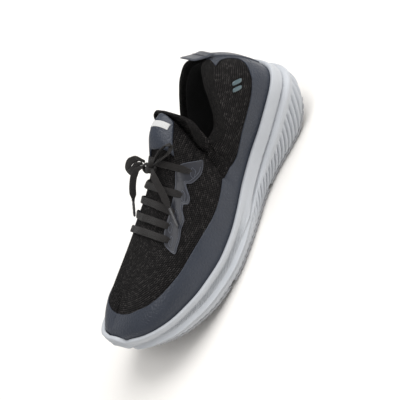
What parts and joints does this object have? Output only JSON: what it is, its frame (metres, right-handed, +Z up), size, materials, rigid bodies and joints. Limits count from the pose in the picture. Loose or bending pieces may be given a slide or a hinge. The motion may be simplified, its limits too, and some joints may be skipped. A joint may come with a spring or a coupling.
{
  "type": "running shoe",
  "caption": "Low-cut knit running shoe for the left foot with a thick foam sole, bonded mudguard, padded collar, heel pull tab and flat laces in a bow.",
  "frame": {"origin": "centre of the shoe's outline, on the ground", "axes": "+Z up, -Y towards the toe, +Y towards the heel, +X towards the outer (lateral) side"},
  "size_m": [0.1138, 0.3056, 0.131],
  "materials": {
    "sole_foam": "moulded foam, matt, with a fine skin",
    "outsole_rubber": "moulded rubber, matt",
    "knit": "engineered knit, near black with lighter stitches",
    "overlay": "bonded synthetic overlay with a fine wrinkled grain, satin",
    "film": "heat-pressed film with raised edges, satin",
    "webbing": "woven webbing faced with the overlay",
    "lining": "fine mesh lining, black",
    "foam": "open-cell foam padding",
    "board": "non-woven lasting board",
    "footbed": "textile-faced footbed",
    "stiffener": "thermoformed stiffener sheet",
    "lace": "flat woven polyester lace",
    "aglet": "clear-coated lace tip",
    "label": "blank woven label",
    "badge": "moulded satin badge"
  },
  "bodies": {
    "root": {"outsole_heel": "outsole_rubber", "outsole_midfoot": "outsole_rubber", "midsole": "sole_foam", "strobel_board": "board", "insole": "footbed", "knit_upper": "knit", "mudguard": "overlay", "heel_strip": "webbing", "heel_counter": "stiffener", "collar_foam_medial": "foam", "collar_foam_lateral": "foam", "quarter_lining": "lining", "eyestay_medial": "film", "eyestay_lateral": "film", "heel_badge": "badge", "lace_row_1": "lace", "lace_row_2": "lace", "lace_row_3": "lace", "lace_row_4": "lace", "lace_row_5": "lace", "lace_knot": "lace", "lace_loop_medial": "lace", "lace_loop_lateral": "lace", "lace_tail_medial": "lace", "lace_tail_lateral": "lace", "aglet_medial": "aglet", "aglet_lateral": "aglet"},
    "forefoot": {"outsole_forefoot": "outsole_rubber", "toe_puff": "stiffener"},
    "tongue": {"tongue_patch": "overlay", "tongue_label": "label", "tongue_padding": "foam"},
    "pull_tab": {"pull_tab": "webbing"}
  },
  "joints": [
    {"name": "toe_flex", "type": "hinge", "parent": "root", "child": "forefoot", "pos_m": [0, -0.052, 0.024], "axis": [-1, 0, 0], "range_deg": [0, 35], "stiffness_Nm_per_rad": 9, "springref_deg": -5.73, "deforming": ["midsole", "knit_upper", "mudguard", "insole", "strobel_board"]},
    {"name": "tongue_flex", "type": "hinge", "parent": "root", "child": "tongue", "pos_m": [-0.0115, 0.03, 0.112], "axis": [1, 0, 0], "range_deg": [0, 16], "stiffness_Nm_per_rad": 0.3, "deforming": ["knit_upper"]},
    {"name": "pull_tab_flex", "type": "hinge", "parent": "root", "child": "pull_tab", "pos_m": [-0.00337, 0.1253, 0.1117], "axis": [-1, 0, 0], "range_deg": [-3, 70], "stiffness_Nm_per_rad": 0.05}
  ]
}
